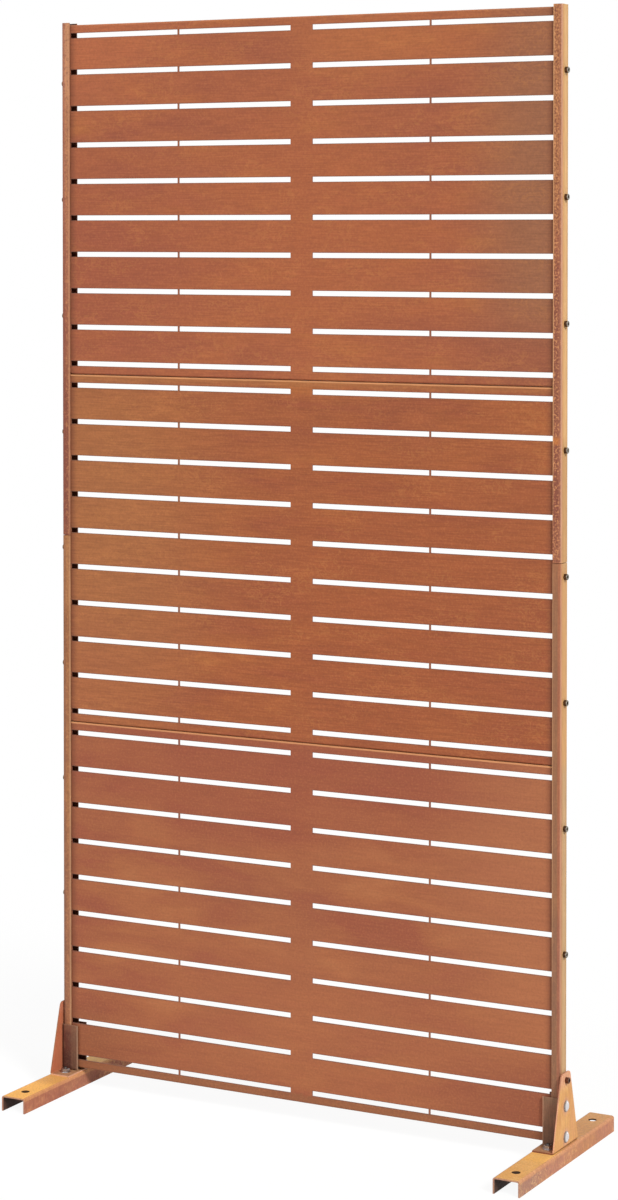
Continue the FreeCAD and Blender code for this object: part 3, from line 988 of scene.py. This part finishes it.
@dataclass
class Footing:
    """Clamp, bracket and foot at each end of the screen."""

    clamp_top: float = reach("right_post_clamp", 2)
    foot_half: float = 23.0
    foot_end: float = 193.0
    hole_row: float = 155.0

    def clamp_finish(self, side: Side) -> WeatheringSteel:
        """Darker, older rust of a clamp, with bare edges and painted shade in the corner by the
        bracket.

        Args:
            side: End of the screen.

        Returns:
            The finish.
        """
        sign, right = side.sign, side is Side.RIGHT
        high, face, low, shade, corner, edge = (
            ("#84654e", "#825b46", "#624538", "#6a553f", "#40241a", "#b08468") if right
            else ("#7d503c", "#62372c", "#4c2b24", "#6e5242", "#43231b", "#a08068")
        )
        return WeatheringSteel(
            f"weathering_steel_{side.word}_clamp", face, face, face, "#7d5a44", shade,
            Grain.ALONG_Z, cloud_mm=(12.0, 12.0, 40.0), shade_mm=20.0, shade_amount=0.35,
            mark_length_mm=34.0, mark_depth=0.12, speck_mm=3.2, speck_amount=0.15,
            speck_dark="#4a3329", speck_light="#8f6c54", ragged_mm=1.2, seed=8.0 + side.value,
            tints=(
                Zone(high, (0.0, 0.0, 112.0), (FAR, FAR, 16.0), 0.75, 0.4),
                Zone(low, (0.0, 0.0, 26.0), (FAR, FAR, 36.0), 0.8, 0.35),
                Zone("#7d5a43", (sign * 450.0, -15.3, 70.0), (7.0, 3.0, 60.0), 0.5, 0.4),
            ),
            faces=(
                # Painted shade in the corner where the bracket stands against the clamp.
                Zone(corner, (sign * 475.5, 0.0, 70.0), (4.0, FAR, FAR), 0.85, 0.22),
                Zone(edge, (sign * 444.0, 0.0, 70.0), (1.6, FAR, FAR), 0.75, 0.3),
                Zone("#93705a", (0.0, 0.0, self.clamp_top + 1.0), (FAR, FAR, 2.0), 0.45, 0.3),
            ),
        )

    def bracket_finish(self, side: Side) -> WeatheringSteel:
        """Bright ochre rust of a bracket, redder inside and round its bolts.

        Args:
            side: End of the screen.

        Returns:
            The finish.
        """
        sign, right = side.sign, side is Side.RIGHT
        plate = sign * BRACKET_FACE
        inner = plate - sign * (BRACKET_SHEET + 4.0)
        front = plate - sign * 6.0
        narrow, edge = ("#d69f80", "#6f3620") if right else ("#7f4b38", "#d8a88a")
        return WeatheringSteel(
            f"weathering_steel_{side.word}_bracket",
            "#c98f56", "#d0985c", "#d59f60", "#ddab6c", "#cf9668", Grain.ALONG_Z,
            cloud_mm=(30.0, 14.0, 34.0), shade_mm=40.0, shade_amount=0.6,
            mark_length_mm=26.0, mark_depth=0.07, speck_amount=0.13,
            speck_light="#ecc58e", speck_dark="#b07a48", ragged_mm=1.4, seed=10.0 + side.value,
            tints=(
                Zone("#c9925a", (plate, 0.0, 30.0), (30.0, FAR, 34.0), 0.5, 0.5),
                Zone("#d89c80", (plate, 0.0, BRACKET_TOP), (30.0, 60.0, 20.0), 0.7, 0.5,
                     Shape.BALL),
                Zone("#9c7055", (sign * 452.0, 0.0, FOOT_TOP), (24.2, FAR, 4.0), 0.85, 0.15),
                *(
                    Zone("#cf9880", (plate, 0.0, height), (30.0, 12.5, 13.5), 0.6, 0.35,
                         Shape.BALL)
                    for height in COACH_HEIGHTS
                ),
            ),
            faces=(
                Zone(narrow, (front, 0.0, 100.0), (5.7, FAR, 71.0), 0.85, 0.02),
                # The front edge darkens upwards in three steps.
                *(
                    Zone("#8a5640", (front, 0.0, low + 50.0), (5.7, FAR, 50.0), 0.3, 0.02)
                    for low in (104.0, 114.0, 124.0)
                ),
                Zone("#b66b4b", (inner, 0.0, 100.0), (4.4, FAR, 71.0), 0.92, 0.04),
                Zone("#c47d60", (inner, 0.0, 146.0), (4.4, FAR, 16.0), 0.6, 0.4),
                Zone(edge, (sign * 459.0, 0.0, 26.6), (22.0, FAR, 1.7), 0.8, 0.1),
                Zone(edge, (sign * 480.0, 0.0, 26.4), (3.0, FAR, 2.2), 0.75, 0.3),
            ),
        )

    def foot_finish(self, side: Side) -> WeatheringSteel:
        """Bright top and pinkish sides of a foot, with painted shade inside it.

        The holes and the top's bends get painted shade too, and the rear of the top
        gets painted shade on the right and painted light on the left.

        Args:
            side: End of the screen.

        Returns:
            The finish.
        """
        sign = side.sign
        centre = sign * FOOT_CENTRE
        if side is Side.RIGHT:
            colours = ("#ab7059", "#b2775b", "#ba805d", "#c48a5c", "#a9745f")
            front, bend_shade = "#f3ba65", "#c0865f"
            patches = (
                # Painted shade: the rear of the top is duller behind the screen.
                Zone("#c6915f", (centre, 150.0, FOOT_TOP), (FAR, 170.0, 2.0), 0.85, 0.25),
                Zone("#9a7263", (centre, -200.0, 4.0), (FAR, 90.0, 20.0), 0.8, 0.4),
                Zone("#b37c51", (centre, 60.0, 6.0), (FAR, 60.0, 22.0), 0.5, 0.5),
            )
        else:
            colours = ("#9b5f49", "#a2654c", "#aa6f52", "#b87d57", "#9c604e")
            front, bend_shade = "#fabc60", "#c48a5e"
            patches = (
                # Painted light: the rear of the top is lighter, though the screen shades it.
                Zone("#f9cd8b", (centre, 150.0, FOOT_TOP), (FAR, 100.0, 2.0), 0.8, 0.3),
                Zone("#955f49", (centre, -40.0, 6.0), (FAR, 50.0, 22.0), 0.5, 0.5),
            )
        inside = self.foot_half - FOOT_SHEET + 0.4
        ceiling = FOOT_TOP - FOOT_SHEET + 0.4
        return WeatheringSteel(
            f"weathering_steel_{side.word}_foot", *colours, Grain.ALONG_Z,
            cloud_mm=(30.0, 40.0, 18.0), shade_mm=60.0, shade_amount=0.6,
            mark_length_mm=20.0, mark_width_mm=3.0, mark_depth=0.10, speck_mm=4.6,
            speck_amount=0.16, speck_light="#dca678", speck_dark="#8f5638",
            curl="#f3c888", curl_mm=(22.0, 9.0, 12.0), curl_amount=0.38, ragged_mm=1.0,
            seed=12.0 + side.value,
            tints=(
                Zone(front, (0.0, 0.0, FOOT_TOP + 4.0), (FAR, FAR, 5.4), 0.94, 0.14),
                *patches,
                # Painted shade on the top's bends, damping the highlight they catch.
                *(
                    Zone(bend_shade, (centre + away, 0.0, FOOT_TOP - 2.0), (2.6, FAR, 3.4), 0.85, 0.3)
                    for away in (sign * 22.0, sign * -22.0)
                ),
            ),
            faces=(
                Zone("#a87d69", (centre, -self.foot_end - 1.0, 0.0), (FAR, 1.4, FAR), 0.75, 0.2),
                # Painted shade in the bolt holes.
                *(
                    Zone("#2b1d16", (centre, row, FOOT_TOP - 2.0), (7.35, 7.35, 9.0),
                         0.9, 0.02, Shape.BALL)
                    for row in (-self.hole_row, self.hole_row)
                ),
                # Painted shade inside the channel.
                Zone("#39241c", (centre, 0.0, 0.0), (inside, self.foot_end - 1.0, ceiling),
                     0.94, 0.004),
            ),
        )

    def build(self) -> None:
        """Dress the six sheet pieces."""
        for side in Side:
            dress(f"{side.word}_post_clamp", self.clamp_finish(side))
            dress(f"{side.word}_bracket", self.bracket_finish(side))
            dress(f"{side.word}_foot", self.foot_finish(side))


@dataclass
class Plating:
    """The finishes of the fasteners."""

    # Black oxide on alloy steel: dark and satin, browned by weather on its
    # side, and rubbed to grey steel on its end.
    oxide: PlatedSteel = PlatedSteel(
        "black_oxide_steel", colour="#9d978c", stain="#4a3d33", roughness=(0.34, 0.52),
        stain_amount=0.5,
        zones=(
            Zone("#5b4431", (0.0, 0.0, 950.0), (479.1, FAR, FAR), 0.95, 0.0008),
            Zone("#6a5a4b", (-520.0, 0.0, 950.0), (50.0, FAR, FAR), 0.9, 0.01),
            Zone("#69402f", (0.0, 0.0, LOWEST_SCREW), (FAR, FAR, 12.0), 0.9, 0.1),
        ),
    )
    # Bright zinc plate: a pale silver with faint violet and yellow clouds,
    # painted dark as shade inside the hollow tray.
    zinc: PlatedSteel = PlatedSteel(
        "bright_zinc_plate", colour="#bdb8ba", stain="#857b72", roughness=(0.24, 0.40),
        stain_amount=0.7,
        # Painted shade inside the hollow tray.
        zones=(Zone("#423a35", (0.0, 0.0, 85.8), (470.6, FAR, 50.0), 0.9, 0.001),),
    )
    # The same plate on a domed head: a painted highlight makes its middle almost
    # white, and a painted reflection makes it brown along its rim.
    dome: PlatedSteel = PlatedSteel(
        "domed_zinc_plate", colour="#7d6b5d", stain="#b9b2b4", roughness=(0.22, 0.38),
        stain_amount=0.35,
        zones=(
            # Painted highlight in the middle of each dome.
            *(
                Zone("#e4e1e3", (side.sign * 480.0, 0.0, height), (30.0, 7.3, 7.8), 0.96, 0.2,
                     Shape.BALL)
                for side in Side for height in COACH_HEIGHTS
            ),
            # Painted shade inside the hollow tray.
            Zone("#423a35", (0.0, 0.0, 85.8), (470.6, FAR, 50.0), 0.9, 0.001),
        ),
    )


@dataclass
class SocketScrews:
    """The dark socket-head screws along both posts, and their nuts inside."""

    first: float = 337.8
    pitch: float = 203.2
    count: int = 8
    thread: Thread = M6
    head: float = 10.0
    head_height: float = 6.0
    knurl_depth: float = 0.16
    knurl_teeth: int = 24
    key: float = 5.0
    key_depth: float = 3.0
    length: float = 12.5
    bracket_length: float = 17.0
    nut: float = 10.0
    nut_height: float = 5.0

    def screw(self, length: float) -> Skin:
        """Make a screw with its seat at height zero.

        Args:
            length: Shank below the head.

        Returns:
            Knurled head with a hexagon socket on a threaded shank.
        """
        half, top = self.head / 2, self.head_height
        side = knurl(half, self.knurl_depth, self.knurl_teeth)
        socket = hexagon(self.key)
        floor = top - self.key_depth
        return Skin(96).bolt(self.thread, length, [
            (half - 0.25, 0.0), (side, 0.3), (side, top - 1.15), (half - 0.02, top - 1.0),
            (half - 0.12, top - 0.5), (half - 0.55, top - 0.08), (half - 0.85, top),
            (3.2, top), (socket, top - 0.35), (socket, floor), (0.9, floor - 0.55),
        ])

    def build(self, dark: bpy.types.Material, zinc: bpy.types.Material) -> None:
        """Make the screws and nuts of both sides.

        Args:
            dark: Finish of the screws.
            zinc: Finish of the nuts.
        """
        heights = [self.first + self.pitch * step for step in range(self.count)]
        screw, nut = self.screw(self.length), hexagon_nut(self.nut, self.nut_height, self.thread)
        for side in Side:
            # Each head was left at another turn when it was tightened.
            screw.place(f"{side.word}_socket_screws", [
                facing(side, (POST_WEB, 0.0, height), OUTWARD, 0.61 * number)
                for number, height in enumerate(heights)
            ], dark, "dark_screw", f"{side.word}_side_screws")
            nut.place(f"{side.word}_inner_nuts", [
                facing(side, (TRAY_WALL, 0.0, height), OUTWARD, FLAT_DOWN)
                for height in (LOWEST_SCREW, *heights)
            ], zinc, "zinc", f"{side.word}_side_nuts")
        self.screw(self.bracket_length).place("bracket_socket_screws", [
            facing(side, (BRACKET_FACE, 0.0, LOWEST_SCREW), OUTWARD, 0.3) for side in Side
        ], dark, "dark_screw", "bracket_screws")


@dataclass
class CoachBolts:
    """The silver domed bolts through bracket, clamp, post and tray."""

    thread: Thread = M8
    head: float = 19.0
    dome: float = 4.5
    rim: float = 0.55
    dome_rings: int = 12
    neck: float = 8.0
    length: float = 18.0
    nut: float = 13.0
    nut_height: float = 6.5

    def bolt(self) -> Skin:
        """Domed head, square neck and threaded shank.

        Returns:
            The bolt with its seat at height zero.
        """
        half = self.head / 2
        rise = self.dome - self.rim
        ball = (half ** 2 + rise ** 2) / (2 * rise)
        neck = square(self.neck, self.neck * 0.66)
        head: Profile = [
            (neck, -BRACKET_SHEET), (neck, 0.0), (half - 0.2, 0.0), (half - 0.03, 0.18),
        ]
        sweep = math.asin(half / ball)
        for step in range(self.dome_rings):
            angle = sweep * (1 - step / self.dome_rings)
            head.append((
                ball * math.sin(angle) - (0.02 if step == 0 else 0.0),
                self.dome - ball * (1 - math.cos(angle)),
            ))
        head.append((0.25, self.dome))
        return Skin(64).bolt(self.thread, self.length, head, BRACKET_SHEET)

    def build(self, dome: bpy.types.Material, zinc: bpy.types.Material) -> None:
        """Make the bolts and their nuts.

        Args:
            dome: Finish of the bolts.
            zinc: Finish of the nuts.
        """
        spots = [(side, height) for side in Side for height in COACH_HEIGHTS]
        self.bolt().place("domed_coach_bolts", [
            facing(side, (BRACKET_FACE, 0.0, height), OUTWARD, math.pi / 4)
            for side, height in spots
        ], dome, "zinc", "coach_bolts")
        hexagon_nut(self.nut, self.nut_height, self.thread).place("inner_coach_nuts", [
            facing(side, (TRAY_WALL, 0.0, height), OUTWARD, FLAT_DOWN) for side, height in spots
        ], zinc, "zinc", "coach_nuts")


@dataclass
class BaseBolts:
    """The bolts that hold each bracket down on its foot, with flanged nuts."""

    spread: float = 58.0
    thread: Thread = M8
    flats: float = 13.0
    head_height: float = 5.3
    length: float = 14.0
    nut_height: float = 6.5
    nut_flange: float = 8.9

    def bolt(self) -> Skin:
        """Hexagon head on a threaded shank.

        Returns:
            The bolt with its seat at height zero and its head above.
        """
        side = hexagon(self.flats)
        face, top = FACE_SHARE * self.flats, self.head_height
        return Skin(72).bolt(self.thread, self.length, [
            (side, 0.0), (side, lambda angle: top - (side(angle) - face) * CHAMFER_SLOPE),
            (face, top),
        ])

    def build(self, zinc: bpy.types.Material) -> None:
        """Make the bolts and their nuts.

        Args:
            zinc: Finish of both.
        """
        ceiling, flange_top = FOOT_TOP - FOOT_SHEET, FOOT_TOP + BRACKET_SHEET
        rows = (-self.spread / 2, self.spread / 2)
        spots = [(side, row) for side in Side for row in rows]
        self.bolt().place("foot_hexagon_bolts", [
            facing(side, (FOOT_CENTRE, row, ceiling), DOWNWARD, 0.2) for side, row in spots
        ], zinc, "zinc", "base_bolts")
        nut = hexagon_nut(self.flats, self.nut_height, self.thread, self.nut_flange)
        nut.place("flanged_base_nuts", [
            facing(side, (FOOT_CENTRE, row, flange_top), DOWNWARD, 0.35 + 0.3 * number)
            for number, (side, row) in enumerate(spots)
        ], zinc, "zinc", "base_nuts")


# ------------------------------------------------------------------- studio

@dataclass
class Lamp:
    """A distant soft lamp, whose level is the light on a face square to it."""

    name: str
    towards: Point
    level: float
    spread_deg: float


@dataclass
class Studio:
    """White room with a pale floor, soft lamps and the camera."""

    azimuth_deg: float = 28.131
    pitch_deg: float = 1.361
    position: Point = (2334.97, -4350.82, 1504.04)
    focal_px: float = 2943.8
    frame_height_px: int = 1200
    principal_px: float = 300.0
    sensor_mm: float = 36.0
    ambient: float = 0.28
    floor_radius: float = 9000.0
    floor_steps: int = 96
    # How white the floor looks near the screen, and where it gets fully white.
    near_white: float = 0.92
    fade_m: Span = (0.4, 2.0)
    lamps: tuple[Lamp, ...] = (
        Lamp("key_lamp", (0.70, -0.40, 0.60), 0.86, 14.0),
        Lamp("fill_lamp", (-0.30, -0.85, 0.42), 0.28, 50.0),
        Lamp("rear_lamp", (0.10, 0.85, 0.52), 0.22, 60.0),
    )

    def camera(self) -> None:
        """Set the camera where the photograph was taken from."""
        lens = bpy.data.cameras.new("studio_camera")
        lens.sensor_width = self.sensor_mm
        tall = self.frame_height_px
        lens.lens = self.focal_px / tall * self.sensor_mm
        lens.shift_y = (self.principal_px - tall / 2) / tall
        lens.clip_end = 100.0
        camera = add_object("studio_camera", lens)
        camera.location = Vector(self.position) * MM
        camera.rotation_euler = (
            math.radians(90 - self.pitch_deg), 0.0, math.radians(self.azimuth_deg)
        )
        bpy.context.scene.camera = camera

    def light(self) -> None:
        """Set the lamps and the white world."""
        for lamp in self.lamps:
            data = bpy.data.lights.new(lamp.name, "SUN")
            data.energy = lamp.level * math.pi
            data.angle = math.radians(lamp.spread_deg)
            item = add_object(lamp.name, data)
            item.rotation_euler = Vector(lamp.towards).to_track_quat("Z", "Y").to_euler()
        world = bpy.data.worlds.new("white_room")
        bpy.context.scene.world = world
        tree = empty_tree(world)
        white = linear("#ffffff")
        soft = add_node(tree, "Background", white, self.ambient)
        room = add_node(tree, "Background", white, 1.0)
        mix = add_node(tree, "MixShader", self.seen_directly(tree), soft, room)
        add_node(tree, "OutputWorld", mix)

    def seen_directly(self, tree: bpy.types.NodeTree) -> Feed:
        """Tell rays that see the room from rays that light the object.

        Args:
            tree: Tree that gets the nodes.

        Returns:
            One for camera, glossy and transmission rays, zero for others.
        """
        rays = add_node(tree, "LightPath").outputs
        both = add_node(tree, "Math", rays["Is Camera Ray"], rays["Is Glossy Ray"], operation="MAXIMUM")
        return add_node(tree, "Math", both, rays["Is Transmission Ray"], operation="MAXIMUM")

    def paper(self) -> bpy.types.Material:
        """Pale studio paper, which fades into the white room.

        Returns:
            The material of the floor.
        """
        material = bpy.data.materials.new("studio_paper")
        tree = empty_tree(material)
        coords = add_node(tree, "TexCoord").outputs["Object"]
        away = add_node(tree, "VectorMath", coords, operation="LENGTH").outputs["Value"]
        fade = add_node(
            tree, "MapRange", away, *self.fade_m, self.near_white, 1.0,
            interpolation_type="SMOOTHSTEP",
        )
        amount = add_node(tree, "Math", self.seen_directly(tree), fade, operation="MULTIPLY")
        paper = add_node(tree, "BsdfDiffuse", linear("#f6f5f3"), 0.5)
        white = add_node(tree, "Emission", linear("#ffffff"), 1.0)
        mix = add_node(tree, "MixShader", amount, paper, white)
        add_node(tree, "OutputMaterial", mix)
        return material

    def floor(self) -> None:
        """Lay the pale floor."""
        steps = self.floor_steps
        points = [Vector()] + [
            around(self.floor_radius * MM, math.tau * step / steps, 0.0)
            for step in range(steps)
        ]
        faces = [(0, step + 1, (step + 1) % steps + 1) for step in range(steps)]
        mesh = bpy.data.meshes.new("studio_floor")
        mesh.from_pydata(points, [], faces)
        mesh.materials.append(self.paper())
        floor = add_object("studio_floor", mesh)

    def build(self) -> None:
        """Set up camera, light and floor."""
        self.camera()
        self.light()
        self.floor()
        bpy.context.scene.view_settings.view_transform = "Standard"


def main() -> None:
    """Build the studio and every part of the screen."""
    logging.basicConfig(level=logging.INFO, format="%(name)s: %(message)s")
    Studio().build()
    Trays().build()
    Posts().build()
    Footing().build()
    plating = Plating()
    dark, zinc, dome = plating.oxide.make(), plating.zinc.make(), plating.dome.make()
    SocketScrews().build(dark, zinc)
    CoachBolts().build(dome, zinc)
    BaseBolts().build(zinc)


if __name__ == "__main__":
    main()
